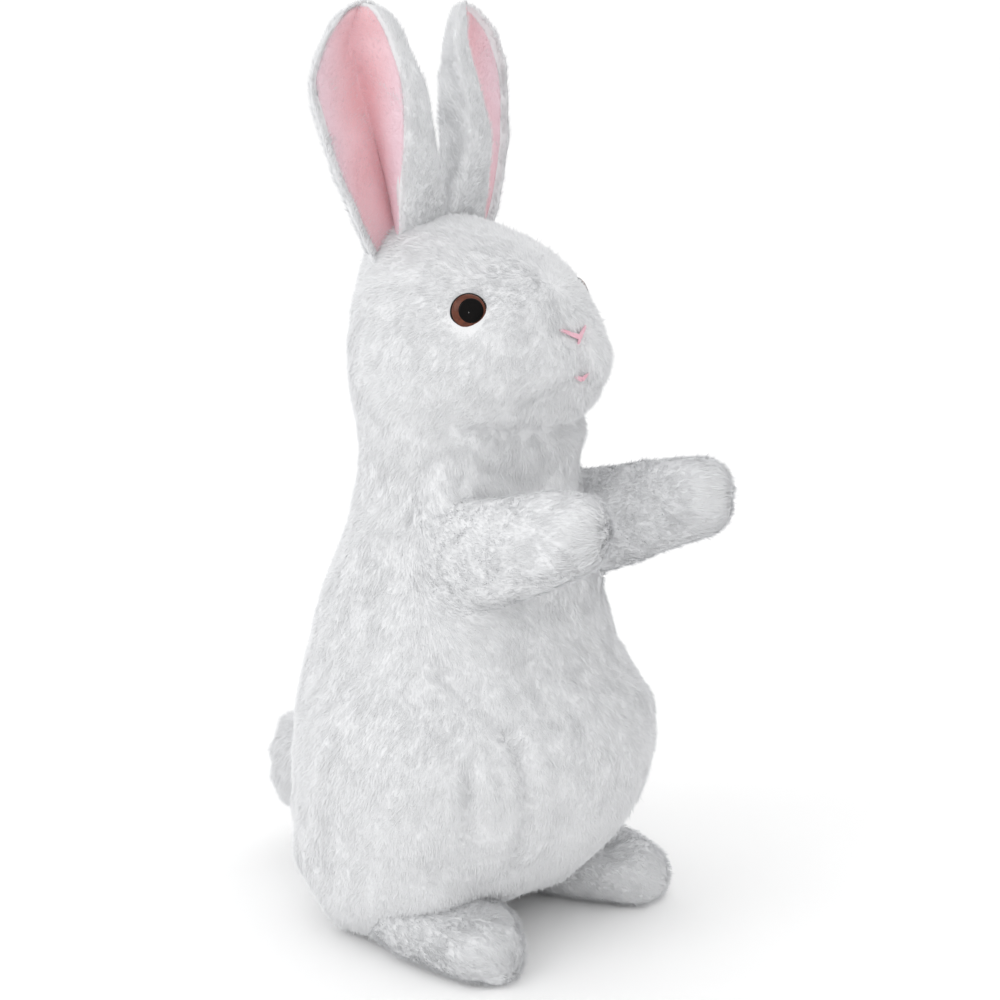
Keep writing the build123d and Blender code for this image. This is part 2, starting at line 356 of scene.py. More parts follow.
def tube_form(rings, low, high):
    """Rings of points closed by a point at each end."""
    rows, cols, _ = rings.shape
    p = np.concatenate([rings.reshape(-1, 3), [low], [high]])
    c = np.arange(cols)
    d = (c + 1) % cols
    quads = [np.stack([r * cols + c, r * cols + d, (r + 1) * cols + d, (r + 1) * cols + c], 1)
             for r in range(rows - 1)]
    first, last = rows * cols, rows * cols + 1
    tris = np.concatenate([
        np.stack([np.full(cols, first), d, c], 1),
        np.stack([np.full(cols, last), (rows - 1) * cols + c, (rows - 1) * cols + d], 1),
    ])
    return Form(p, np.concatenate(quads), tris)


def stack_form(stations, drop):
    """A form from round stations, as the torso and the head are."""
    st = np.array(stations, float)
    path = np.stack([st[:, 0], st[:, 2], st[:, 1], st[:, 3]], 1)
    length = np.linalg.norm(np.diff(path[:, :2], axis=0), axis=1).sum()
    rows = int(length / RESOLUTION)
    fine = catmull(path, rows)
    cols = int(2 * math.pi * st[:, 2].max() / RESOLUTION / 1.15)
    turn = np.linspace(0, 2 * math.pi, cols, endpoint=False)
    r = np.maximum(fine[:, 1] - drop, 0.5)
    rings = np.stack([
        np.outer(r * fine[:, 3], np.sin(turn)),
        fine[:, 2][:, None] - np.outer(r, np.cos(turn)),
        np.repeat(fine[:, 0][:, None], cols, 1),
    ], -1)
    low = (0, fine[0, 2], fine[0, 0])
    high = (0, fine[-1, 2], fine[-1, 0])
    return tube_form(rings, low, high)


def ball_form(at, radii, rows=40, cols=56):
    """An ellipsoid."""
    lat = np.linspace(-math.pi / 2, math.pi / 2, rows + 2)[1:-1]
    lon = np.linspace(0, 2 * math.pi, cols, endpoint=False)
    rings = np.stack([np.outer(np.cos(lat), np.cos(lon)), np.outer(np.cos(lat), np.sin(lon)),
                      np.repeat(np.sin(lat)[:, None], cols, 1)], -1)
    form = tube_form(rings, (0, 0, -1), (0, 0, 1))
    form.p = form.p * np.array(radii, float) + np.array(at, float)
    return form


# ---------------------------------------------------------------- from numbers to Blender pieces
def mesh_piece(name, points, faces, material, smooth=True):
    """faces is a list of index arrays, one for each face size."""
    mesh = bpy.data.meshes.new(name)
    loops = np.concatenate([f.reshape(-1) for f in faces]).astype(np.int32)
    sizes = np.concatenate([np.full(len(f), f.shape[1]) for f in faces]).astype(np.int32)
    starts = np.r_[0, np.cumsum(sizes)[:-1]].astype(np.int32)
    mesh.vertices.add(len(points))
    mesh.vertices.foreach_set("co", (np.asarray(points) * MM).astype(np.float32).reshape(-1))
    mesh.loops.add(len(loops))
    mesh.loops.foreach_set("vertex_index", loops)
    mesh.polygons.add(len(sizes))
    mesh.polygons.foreach_set("loop_start", starts)
    mesh.polygons.foreach_set("loop_total", sizes)
    mesh.polygons.foreach_set("use_smooth", np.full(len(sizes), smooth))
    mesh.update(calc_edges=True)
    if material is not None:
        mesh.materials.append(material)
    piece = bpy.data.objects.new(name, mesh)
    bpy.context.scene.collection.objects.link(piece)
    return piece


def skin_piece(name, form, material):
    return mesh_piece(name, form.p, [form.quads, form.tris], material)


def pile_points(form, density, seed):
    """Even random points on a form: places, normals."""
    rng = np.random.default_rng(seed)
    t = form.triangles()
    a, b, c = form.p[t[:, 0]], form.p[t[:, 1]], form.p[t[:, 2]]
    area = np.linalg.norm(np.cross(b - a, c - a), axis=1) / 2
    count = int(area.sum() * density)
    pick = np.searchsorted(np.cumsum(area), rng.uniform(0, area.sum(), count))
    pick = np.minimum(pick, len(t) - 1)
    u, v = rng.uniform(size=count), rng.uniform(size=count)
    flip = u + v > 1
    u[flip], v[flip] = 1 - u[flip], 1 - v[flip]
    w = 1 - u - v
    n = form.normals()
    place = a[pick] * w[:, None] + b[pick] * u[:, None] + c[pick] * v[:, None]
    out = n[t[pick, 0]] * w[:, None] + n[t[pick, 1]] * u[:, None] + n[t[pick, 2]] * v[:, None]
    return place, out / np.linalg.norm(out, axis=1)[:, None], rng


def comb(place, out, flow, swirl, seed):
    """The way the pile lies: flow projected on the surface and swirled by noise."""
    lie = flow(place) if callable(flow) else np.repeat(np.array([flow], float), len(place), 0)
    lie = lie - out * (lie * out).sum(1)[:, None]
    lie /= np.maximum(np.linalg.norm(lie, axis=1), 1e-6)[:, None]
    side = np.cross(out, lie)
    angle = swirl * (waves(seed, 26)(place) + 0.6 * waves(seed + 1, 9)(place))
    return lie * np.cos(angle)[:, None] + side * np.sin(angle)[:, None]


def strands(place, out, lie, length, lean, width, rng):
    """Closed flattened hairs, each a taper from a wide root to a point."""
    count = len(place)
    side = np.cross(out, lie)
    side /= np.maximum(np.linalg.norm(side, axis=1), 1e-6)[:, None]
    spread = rng.normal(size=(count, 1)) * 0.15
    lean = lean + rng.normal(size=count) * 0.06 - np.where(rng.uniform(size=count) < STRAY, 0.5, 0)
    aim = out * np.cos(lean)[:, None] + lie * np.sin(lean)[:, None] + side * spread
    aim /= np.linalg.norm(aim, axis=1)[:, None]
    across = np.cross(aim, out)
    across /= np.linalg.norm(across, axis=1)[:, None]
    over = np.cross(across, aim)
    length = (length * rng.uniform(0.75, 1.1, count))[:, None]
    root = place - out * 0.3
    p = np.stack([root + aim * length, root - across * width / 2, root + across * width / 2,
                  root + over * width * HAIR_FLAT], 1).reshape(-1, 3)
    base = np.arange(count)[:, None] * 4
    faces = np.concatenate([base + np.array(f) for f in ((0, 3, 1), (0, 2, 3), (0, 1, 2), (1, 3, 2))])
    return p, faces


def pile_piece(name, form, material, flow, keep=None, density=PILE_DENSITY, length=PILE,
               lean=PILE_LEAN, width=PILE_WIDTH, seed=1, trim=None):
    """The pile on a form, or on the part of it where keep(place, out) holds. trim(place) is a factor on
    its length."""
    place, out, rng = pile_points(form, density, seed)
    if keep is not None:
        ok = keep(place, out)
        place, out = place[ok], out[ok]
    lie = comb(place, out, flow, PILE_SWIRL, seed)
    tuft = 0.04 * waves(seed + 5, 5.0)(place) + 0.04 * waves(seed + 6, 13)(place)
    long = length * (1 + 0.08 * waves(seed + 7, 12)(place))
    if trim is not None:
        long = long * trim(place)
        ok = long > SHORTEST_HAIR
        place, out, lie, tuft, long = place[ok], out[ok], lie[ok], tuft[ok], long[ok]
    p, faces = strands(place, out, lie, long, lean + tuft, width, rng)
    p[:, 2] = np.maximum(p[:, 2], FLOOR_GAP)
    return mesh_piece(name, p, [faces], material, smooth=False)


# ---------------------------------------------------------------- materials
def material(name, color, rough=0.8, sheen=0.0, coat=0.0, coat_rough=0.1, specular=0.3):
    m = bpy.data.materials.new(name)
    m.use_nodes = True
    b = m.node_tree.nodes["Principled BSDF"]
    b.inputs["Base Color"].default_value = (*color, 1)
    b.inputs["Roughness"].default_value = rough
    b.inputs["Sheen Weight"].default_value = sheen
    b.inputs["Sheen Roughness"].default_value = 0.5
    b.inputs["Coat Weight"].default_value = coat
    b.inputs["Coat Roughness"].default_value = coat_rough
    b.inputs["Specular IOR Level"].default_value = specular
    return m


def mottled(name, low, high, scale, bump, bump_scale, **kw):
    """Cloth whose colour and height vary with noise."""
    m = material(name, high, **kw)
    tree = m.node_tree
    b = tree.nodes["Principled BSDF"]
    where = tree.nodes.new("ShaderNodeTexCoord")
    noise = tree.nodes.new("ShaderNodeTexNoise")
    noise.inputs["Scale"].default_value = scale
    noise.inputs["Detail"].default_value = 5
    ramp = tree.nodes.new("ShaderNodeValToRGB")
    ramp.color_ramp.elements[0].position = 0.3
    ramp.color_ramp.elements[0].color = (*low, 1)
    ramp.color_ramp.elements[1].position = 0.7
    ramp.color_ramp.elements[1].color = (*high, 1)
    grain = tree.nodes.new("ShaderNodeTexNoise")
    grain.inputs["Scale"].default_value = bump_scale
    grain.inputs["Detail"].default_value = 3
    lift = tree.nodes.new("ShaderNodeBump")
    lift.inputs["Strength"].default_value = bump
    lift.inputs["Distance"].default_value = 0.0006
    tree.links.new(where.outputs["Object"], noise.inputs["Vector"])
    tree.links.new(where.outputs["Object"], grain.inputs["Vector"])
    tree.links.new(noise.outputs["Fac"], ramp.inputs["Fac"])
    tree.links.new(ramp.outputs["Color"], b.inputs["Base Color"])
    tree.links.new(grain.outputs["Fac"], lift.inputs["Height"])
    tree.links.new(lift.outputs["Normal"], b.inputs["Normal"])
    return m


def ear_velour():
    """Pink velour in its own mottled pink, with a lighter pink mixed in on the outer flap and by the
    front edge as painted sheen, which leaves the deeper pink in the valley of the ear as painted shade.
    """
    m = mottled("pink_velour_painted_sheen", (0.82, 0.47, 0.50), (0.87, 0.57, 0.61), 70, 0.35, 1100,
                rough=0.95, sheen=0.2, specular=0.05)
    tree = m.node_tree
    b = tree.nodes["Principled BSDF"]
    ramp = b.inputs["Base Color"].links[0].from_socket
    where = tree.nodes.new("ShaderNodeTexCoord")
    split = tree.nodes.new("ShaderNodeSeparateXYZ")
    tree.links.new(where.outputs["Object"], split.inputs["Vector"])
    away = tree.nodes.new("ShaderNodeMath")
    away.operation = "ABSOLUTE"
    tree.links.new(split.outputs["X"], away.inputs[0])
    # painted sheen: lighter pink towards the outer rim and the front edge; the deeper pink left in the
    # valley is painted shade
    shares = []
    for socket, low, high in ((away.outputs["Value"], 0.026, 0.046), (split.outputs["Y"], 0.014, 0.003)):
        spread = tree.nodes.new("ShaderNodeMapRange")
        spread.interpolation_type = "SMOOTHSTEP"
        spread.inputs["From Min"].default_value = low
        spread.inputs["From Max"].default_value = high
        tree.links.new(socket, spread.inputs["Value"])
        shares.append(spread.outputs["Result"])
    most = tree.nodes.new("ShaderNodeMath")
    most.operation = "MAXIMUM"
    for k in (0, 1):
        tree.links.new(shares[k], most.inputs[k])
    painted_sheen_mix = tree.nodes.new("ShaderNodeMix")
    painted_sheen_mix.data_type = "RGBA"
    painted_sheen_mix.inputs["B"].default_value = (0.84, 0.65, 0.71, 1)
    tree.links.new(most.outputs["Value"], painted_sheen_mix.inputs["Factor"])
    tree.links.new(ramp, painted_sheen_mix.inputs["A"])
    tree.links.new(painted_sheen_mix.outputs["Result"], b.inputs["Base Color"])
    return m


WHITE_CLOTH = mottled("white_backing", (0.80, 0.805, 0.815), (0.815, 0.82, 0.83), 300, 0.3, 1400,
                      rough=0.95, specular=0.1)
WHITE_PILE = material("white_pile", (0.82, 0.825, 0.835), rough=0.95, sheen=0.0, specular=0.1)
# ear lining: its own mottled pink, with painted sheen on the flaps and painted shade in the valley
PINK_CLOTH_PAINTED_SHEEN = ear_velour()
PINK_PILE = material("pink_pile", (0.90, 0.70, 0.75), rough=0.95, sheen=0.2, specular=0.05)
PINK_THREAD = mottled("pink_thread", (0.80, 0.42, 0.50), (0.86, 0.54, 0.62), 400, 0.2, 2000,
                      rough=0.5, sheen=0.2)
IRIS = mottled("brown_iris", (0.070, 0.016, 0.007), (0.15, 0.040, 0.016), 700, 0.0, 1500,
               rough=0.3, coat=0.2, coat_rough=0.05, specular=0.2)
PUPIL = mottled("black_pupil", (0.002, 0.002, 0.002), (0.004, 0.003, 0.003), 300, 0.0, 1500,
                rough=0.08, specular=0.09)
NYLON = mottled("nylon", (0.75, 0.75, 0.73), (0.85, 0.85, 0.83), 200, 0.1, 900, rough=0.5)
BAG_CLOTH = mottled("bag_cloth", (0.55, 0.54, 0.50), (0.66, 0.65, 0.60), 260, 0.5, 1200, rough=0.9)


# ---------------------------------------------------------------- torso
# Lines and folds on the left side; the right side mirrors them.
BELLY_SEAM = [(41, -47, 98), (38, -62, 82), (36, -65, 68), (35.5, -64, 55), (33, -57, 38), (27, -50, 24)]
UNDER_ARM_FOLD = [(48, -31, 111), (45, -39, 104), (41, -47, 98)]
HAUNCH_FOLD = [(52, -50, 81), (51, -52, 71), (50, -51, 56), (46, -51, 45)]
COLLAR_FOLD = [(34.5, -31.5, 173), (32.5, -35, 164), (24, -43, 163)]
BACK_SEAM = [(0, 32, 172), (0, 45, 120), (0, 57, 80), (0, 56, 30)]
# Swellings: where, reach on each axis, how far out
HAUNCH_SWELL = ((52, -30, 48), (30, 34, 42), 2.5)
BELLY_SIDE_SWELL = ((24, -66, 62), (26, 24, 46), 1.2)
BELLY_SWELL = ((0, -70, 70), (20, 24, 50), 1.2)


def on_side(s, points):
    """Points given for the left side, on side s."""
    return [(s * x, y, z) for x, y, z in points]


def swell(form, s, at, reach, amount):
    """A swelling given for the left side, on side s."""
    form.push((s * at[0], at[1], at[2]), reach, amount)


def seam_lines(s):
    """Sewn lines and folds on one side of the torso."""
    return [on_side(s, line) for line in (BELLY_SEAM, UNDER_ARM_FOLD, HAUNCH_FOLD)]


def torso_form():
    """Body, haunches, heels and shoulders, welded, stuffed and creased."""
    drop = SKIN_DROP + SWELL * HALF_SWOLLEN
    parts = [stack_form(TORSO, drop)]
    for _, s in SIDES:
        for at, radii in ((HAUNCH_AT, HAUNCH_R), (HEEL_AT, HEEL_R), (SHOULDER_AT, SHOULDER_R)):
            parts.append(ball_form((s * at[0], at[1], at[2]), [r - drop for r in radii]))
    f = welded(parts, VOXEL)
    f.floor(SOLE_Z)
    f.smooth(6)
    for _, s in SIDES:
        swell(f, s, *HAUNCH_SWELL)
        swell(f, s, *BELLY_SIDE_SWELL)
    swell(f, 1, *BELLY_SWELL)
    seams = seam_lines(1) + seam_lines(-1) + [BACK_SEAM]
    f = stuffed(f, seams, lambda p: (p[:, 2] < 5) | (p[:, 2] > TORSO_TOP), SWELL)
    for _, s in SIDES:
        side, under_arm, haunch = seam_lines(s)
        f.groove(side, 2.6, 2.6)   # width and depth, as for all grooves
        f.groove(haunch, 2.9, 2.9)
        f.groove(under_arm, 3.0, 2.2)
        f.groove(on_side(s, COLLAR_FOLD), 2.5, 1.2)
    f.groove(CHIN_FOLD, *CHIN_GROOVE)
    f.rumple(11, 42, 0.5)
    f.rumple(12, 17, 0.25)
    f.floor(SOLE_Z)
    return f


GUSSET_SEAM = [(9, -52, 222), (14, -36, 238), (15, -5, 246), (14, 24, 232), (13, 33, 205)]
CHIN_SEAM = [(30, -42, 193), (0, -56, 196), (-30, -42, 193)]
LIP_LINE = [(0, -56, 214), (0, -57, 208), (0, -57, 202)]
MOUTH_LINE = [(0, -58, 202), (5, -57, 200.5), (11, -55, 198), (16, -52, 195)]
NOSE_LINE = [(0, -55, 215), (7, -54, 217.5)]
WHISKER_SWELL = ((13, -56, 207), (15, 16, 13), 2.4)
CHEEK_SWELL = ((30, -34, 198), (22, 24, 18), 1.5)
EYE_HOLLOW = (EYE_AT, (11, 11, 11), -0.8)
CHIN_SWELL = ((0, -50, 190), (14, 14, 9), 1.4)


def head_form():
    """Head, welded, stuffed and creased, with the muzzle, cheeks and eye hollows."""
    f = welded([stack_form(HEAD, HEAD_DROP)], VOXEL)
    f.smooth(3)
    seams = [on_side(s, GUSSET_SEAM) for _, s in SIDES] + [CHIN_SEAM]
    f = stuffed(f, seams, lambda p: p[:, 2] < HEAD_FOOT, HEAD_SWELL)
    for _, s in SIDES:
        for swelling in (WHISKER_SWELL, CHEEK_SWELL, EYE_HOLLOW):
            swell(f, s, *swelling)
    swell(f, 1, *CHIN_SWELL)
    f.groove(LIP_LINE, 2.0, 2.0)
    for _, s in SIDES:
        f.groove(on_side(s, MOUTH_LINE), 1.9, 1.0)
        f.groove(on_side(s, NOSE_LINE), 1.6, 1.0)
    f.groove(CHIN_FOLD, *CHIN_GROOVE)
    f.rumple(21, 30, 0.35)
    f.rumple(22, 9, 0.12)
    return f


TORSO_FORM = torso_form()
HEAD_FORM = head_form()


def neck_blend(piece):
    """Bakes the piece's placement into its mesh."""
    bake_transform(piece)


torso = skin_piece("torso_skin", TORSO_FORM, WHITE_CLOTH)
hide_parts("belly_panel", "back_panel_left", "back_panel_right", "base_panel", "torso_stuffing")
neck_blend(torso)

head = skin_piece("head_skin", HEAD_FORM, WHITE_CLOTH)
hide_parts("chin_panel", "head_gusset", "head_side_left", "head_side_right", "head_stuffing")
neck_blend(head)


def torso_flow(p):
    """Down the body, turning forwards along the arms at the shoulders."""
    lie = np.repeat(np.array([(0, 0.25, -1.0)]), len(p), 0)
    for _, s in SIDES:
        w = np.exp(-(((p - (s * 36, -42, 142)) / (20, 18, 24)) ** 2).sum(1))
        lie += w[:, None] * np.array((0, -3.0, 1.2))   # forwards, and level instead of down
    return lie


def clear_of(form, depth=0.3):
    """Says which points aren't deeper than depth inside a form."""
    tree = BVHTree.FromPolygons(form.p.tolist(), form.triangles().tolist())

    def clear(place):
        out = np.empty(len(place), bool)
        for k, q in enumerate(place):
            on, normal, _, _ = tree.find_nearest(q)
            out[k] = (Vector(q) - on).dot(normal) > -depth
        return out

    return clear


CLEAR_OF_TORSO = clear_of(TORSO_FORM)
SECTORS = ("front", "front_left", "back_left", "back", "back_right", "front_right")


def sector(k):
    """Keeps the points in one sector of a form, seen from above."""
    def keep(place, out):
        turn = np.degrees(np.arctan2(place[:, 0], -place[:, 1])) / 360 * len(SECTORS) + 0.5
        return (np.floor(turn) % len(SECTORS) == k) & (place[:, 2] > 1.2)
    return keep


for k, word in enumerate(SECTORS):
    pile = pile_piece("torso_pile_" + word, TORSO_FORM, WHITE_PILE, torso_flow, sector(k), seed=31)
    neck_blend(pile)


def face_trim(p):
    """Shorter pile round the eyes, the nose and the mouth, none where the eyes sit. It is shortest in
    front of an eye, where the hairs lie towards it."""
    out = np.ones(len(p))
    for _, s in SIDES:
        d = np.linalg.norm(p - np.array((s * EYE_AT[0], EYE_AT[1], EYE_AT[2])), axis=1)
        front = np.clip(0.5 - (p[:, 1] - EYE_AT[1]) / (2 * EYE_R), 0, 1)
        out *= np.clip((d - EYE_R + 0.3) / (0.9 + 1.9 * front), 0, 1) ** 0.7
    d = np.linalg.norm((p - np.array((0, -55, NOSE_AT[1] - 5))) / (6, 9, 12), axis=1)
    return out * np.clip(0.35 + 0.65 * d, 0.5, 1)


def head_flow(p):
    """Back from the nose and down."""
    away = p - np.array((0, -62, 216))
    return away * (1, 0.5, 1) + np.array((0, 0, -24))


for name, s in SIDES:
    pile = pile_piece("head_pile_" + name, HEAD_FORM, WHITE_PILE, head_flow,
                      lambda place, out: (place[:, 0] * s >= 0) & CLEAR_OF_TORSO(place), seed=41,
                      length=3.4, trim=face_trim)
    neck_blend(pile)


# ---------------------------------------------------------------- arms
def arm_form(s):
    """Oval sections along the arm, welded and stuffed."""
    path = catmull([(y, x, z, wide, tall) for y, x, wide, z, tall in ARM], 64)
    turn = np.linspace(0, 2 * math.pi, 60, endpoint=False)
    rings = []
    for i, (y, x, z, wide, tall) in enumerate(path):
        before, after = path[max(i - 1, 0)], path[min(i + 1, len(path) - 1)]
        along = np.array((s * (after[1] - before[1]), after[0] - before[0], 0.5 * (after[2] - before[2])))
        along /= np.linalg.norm(along)
        across = np.cross(along, (0, 0, 1))
        across /= np.linalg.norm(across)
        up = np.cross(across, along)
        drop = SKIN_DROP + SWELL * HALF_SWOLLEN
        wide, tall = max(wide - drop, THINNEST), max(tall - drop, THINNEST)
        rings.append(np.array((s * x, y, z)) + np.outer(np.cos(turn) * wide, across)
                     - np.outer(np.sin(turn) * tall, up))
    form = tube_form(np.array(rings), rings[0].mean(0), rings[-1].mean(0))
    form.outward()
    form = welded([form], LIMB_VOXEL)
    seams = [[(s * x, y, z + side * tall) for y, x, wide, z, tall in ARM[3:-1]] for side in (-1, 1)]
    form = stuffed(form, seams, lambda p: p[:, 1] > ARM_ROOT_Y, LIMB_SWELL)
    form.rumple(51 + s, 22, 0.4)
    form.rumple(55 + s, 8, 0.12)
    return form


def arm_flow(p):
    """Along the arm, drooping a little towards its root."""
    down = np.clip((p[:, 1] + 60) / 40, 0, 1)
    return np.stack([np.zeros(len(p)), np.full(len(p), -1.0), 0.15 - 0.35 * down], 1)


def paw_trim(p):
    """Longer pile over the end of the paw."""
    return 1 + 0.25 * np.clip((-75 - p[:, 1]) / 15, 0, 1)


for name, s in SIDES:
    form = arm_form(s)
    skin = skin_piece(name + "_arm_skin", form, WHITE_CLOTH)
    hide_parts(name + "_arm_outer", name + "_arm_inner", name + "_arm_stuffing")
    pile = pile_piece(name + "_arm_pile", form, WHITE_PILE, arm_flow,
                      lambda place, out: (place[:, 1] < -8) & CLEAR_OF_TORSO(place), seed=61 + s,
                      lean=1.24, trim=paw_trim)
    for piece in (skin, pile):
        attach(piece, name + "_arm")


# ---------------------------------------------------------------- feet and tail
def foot_form(s):
    """Flat-based rounded sections along the foot, welded and stuffed."""
    path = catmull([(y, x, wide, tall) for y, x, wide, tall in FOOT], 56)
    turn = np.linspace(0, 2 * math.pi, 64, endpoint=False)
    c, d = np.cos(turn), np.sin(turn)
    power = 2 / FOOT_SQUARENESS
    c, d = np.sign(c) * np.abs(c) ** power, np.sign(d) * np.abs(d) ** power
    rings = []
    for y, x, wide, tall in path:
        drop = SKIN_DROP + SWELL * HALF_SWOLLEN
        wide, tall = max(wide - drop, THINNEST), max(tall - drop, THINNEST)
        rings.append(np.stack([s * x + c * wide, np.full(len(c), y), (1 + d) * tall / 2], 1))
    form = tube_form(np.array(rings), rings[0].mean(0), rings[-1].mean(0))
    form.outward()
    form = welded([form], LIMB_VOXEL)
    form = stuffed(form, [], lambda p: (p[:, 2] < 3) | (p[:, 1] > 0), LIMB_SWELL)
    form.rumple(71 + s, 18, 0.3)
    form.rumple(73 + s, 8, 0.12)
    form.floor(SOLE_Z)
    return form


for name, s in SIDES:
    form = foot_form(s)
    skin = skin_piece(name + "_foot_skin", form, WHITE_CLOTH)
    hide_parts(name + "_foot_top", name + "_foot_sole", name + "_foot_stuffing")
    pile = pile_piece(name + "_foot_pile", form, WHITE_PILE, (s * 0.2, -1, 0),
                      lambda place, out: (place[:, 2] > 1.0) & CLEAR_OF_TORSO(place), seed=81 + s,
                      lean=0.95)
    for piece in (skin, pile):
        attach(piece, "torso")

tail_form = ball_form(TAIL_AT, [r - SKIN_DROP for r in TAIL_R])
tail_form.rumple(91, 14, 0.5)
tail = skin_piece("tail_skin", tail_form, WHITE_CLOTH)
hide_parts("tail_cover", "tail_stuffing")
tail_pile = pile_piece("tail_pile", tail_form, WHITE_PILE, (0, 0.3, -1), seed=92, length=4.4)
for piece in (tail, tail_pile):
    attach(piece, "torso")


# ---------------------------------------------------------------- ears
def ear_loop(row):
    """One level section of an ear: its outside, from the rim round the back to the front edge, then
    its inside back to the rim."""
    z, rim, valley, front, bulge = row
    rim, valley, front, bulge = (np.array(q, float) for q in (rim, valley, front, bulge))
    back = np.array((-0.25, 1.0)) * EAR_THICK
    flap = rim - valley
    cup = np.array((0.0, 0.06 * np.linalg.norm(flap)))
    inner = [valley + flap * k + cup for k in (0.33, 0.7)]
    spine = valley + np.array((-0.45, 0.9)) * EAR_THICK
    turned = (bulge + front) / 2 + np.array((0.0, -0.12 * np.linalg.norm(front - bulge)))
    loop = [
        rim + np.array((0.6, 0.25 * EAR_THICK)), rim + back * 0.75, inner[1] + back, inner[0] + back,
        spine, (spine + bulge) / 2 + np.array((-0.5, 0.3)), bulge, turned,
        front, (front + valley) / 2 + np.array((0.6, 0.3)), valley, *inner, rim,
    ]
    return np.array([(x, y, z) for x, y in loop])


def ear_levels():
    """The sections of an ear, evenly spaced to its tip, as rows of points."""
    loops = np.array([ear_loop(row) for row in EAR])
    tip = np.repeat(np.array(EAR_TIP, float)[None], loops.shape[1], 0)
    loops = np.concatenate([loops, [tip + 0.12 * (loops[-1] - tip) * (1, 1, 0)]])
    flat = np.concatenate([loops[:, 0, 2:3], loops.reshape(len(loops), -1)], 1)
    fine = catmull(flat, 70)
    return fine[:, 1:].reshape(70, -1, 3)


EAR_LEVELS = ear_levels()
OUTSIDE = 9            # points of the loop that lie outside, the front edge among them


def sheet_form(rows):
    """An open sheet through rows of points."""
    r, c, _ = rows.shape
    k = np.arange(r * c).reshape(r, c)
    quads = np.stack([k[:-1, :-1], k[:-1, 1:], k[1:, 1:], k[1:, :-1]], -1).reshape(-1, 4)
    return Form(rows.reshape(-1, 3), quads, np.zeros((0, 3), int))


def ear_skin(s):
    """The white cloth of an ear, all round."""
    loops = np.array([catmull(level, 91, closed=True)[:-1] for level in EAR_LEVELS]) * (s, 1, 1)
    skin = tube_form(loops, loops[0].mean(0), loops[-1].mean(0))
    skin.outward()
    skin.rumple(101 + s, 15, 0.25)
    return skin


def ear_lining(s):
    """A thin closed sheet laid over the inside of the ear, short of its rim."""
    inside = np.array([catmull(level[OUTSIDE - 1:], 60) for level in EAR_LEVELS]) * (s, 1, 1)
    rows = []
    for level in inside:
        along = np.r_[0, np.cumsum(np.linalg.norm(np.diff(level, axis=0), axis=1))]
        low, high = LINING_EDGE, along[-1] - LINING_RIM
        if high < low + 2:
            break
        want = np.linspace(low, high, LINING_COLS)
        rows.append(np.stack([np.interp(want, along, level[:, k]) for k in range(3)], 1))
    rows = np.array(rows)
    top = len(rows) - 1
    lift = sheet_form(rows)
    lift.face_towards((s * 45, -40, 285))
    n = lift.normals().reshape(rows.shape)
    edge = np.linspace(0, 1, LINING_COLS)
    raise_by = LINING_THICK * np.sin(np.pi * np.clip(edge, 0.02, 0.98)) ** 0.35
    level = np.arange(len(rows))
    raise_by = raise_by[None] * np.clip((top - level) / 3, 0.1, 1)[:, None] ** 0.5
    face = rows + n * raise_by[..., None]
    under = rows - n * 0.6
    loops = np.concatenate([face, under[:, ::-1]], 1)
    form = tube_form(loops, loops[0].mean(0), loops[-1].mean(0))
    form.outward()
    return form


def off_the(form):
    """Says which points are clear of a form, or face away from it."""
    tree = KDTree(len(form.p))
    for k, q in enumerate(form.p):
        tree.insert(q, k)
    tree.balance()

    def clear(place, out):
        keep = np.empty(len(place), bool)
        for k, (q, n) in enumerate(zip(place, out)):
            on, _, far = tree.find(q)
            keep[k] = far > LINING_CLEAR or (on - Vector(q)).dot(n) < -0.5 * far
        return keep

    return clear


UP = (0, 0, 1)


for name, s in SIDES:
    skin_form = ear_skin(s)
    skin = skin_piece(name + "_ear_skin", skin_form, WHITE_CLOTH)
    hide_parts(name + "_ear_back")
    pink = ear_lining(s)
    covered = off_the(pink)
    pile = pile_piece(name + "_ear_pile", skin_form, WHITE_PILE, UP,
                      lambda place, out: covered(place, out) & (place[:, 2] > 240),
                      seed=111 + s, length=2.8, lean=1.0)
    lining = skin_piece(name + "_ear_pink", pink, PINK_CLOTH_PAINTED_SHEEN)
    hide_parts(name + "_ear_lining")
    velour = pile_piece(name + "_ear_velour", pink, PINK_PILE, UP, seed=121 + s, density=2.2,
                        length=1.5, lean=0.8, width=0.26)
    x, y, z = EAR_HINGE
    for piece in (skin, pile, lining, velour):
        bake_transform(piece)


# ---------------------------------------------------------------- eyes
def turned_form(at, out, profile, cols=72):
    """A turned shape from (radius, height) pairs about an axis."""
    out = np.array(out, float) / np.linalg.norm(out)
    across = np.cross(out, (0, 0, 1))
    across /= np.linalg.norm(across)
    up = np.cross(across, out)
    turn = np.linspace(0, 2 * math.pi, cols, endpoint=False)
    rings = [np.array(at) + out * h + r * (np.outer(np.cos(turn), across) + np.outer(np.sin(turn), up))
             for r, h in profile]
    form = tube_form(np.array(rings), rings[0].mean(0), rings[-1].mean(0))
    form.outward()
    return form


def dome(radius, height, low, steps=10):
    """Half profile of a flat-bottomed dome."""
    angles = np.linspace(0, math.pi / 2, steps + 1)[:-1]
    return [(radius * 0.98, low)] + [(radius * math.cos(a), height * math.sin(a)) for a in angles]


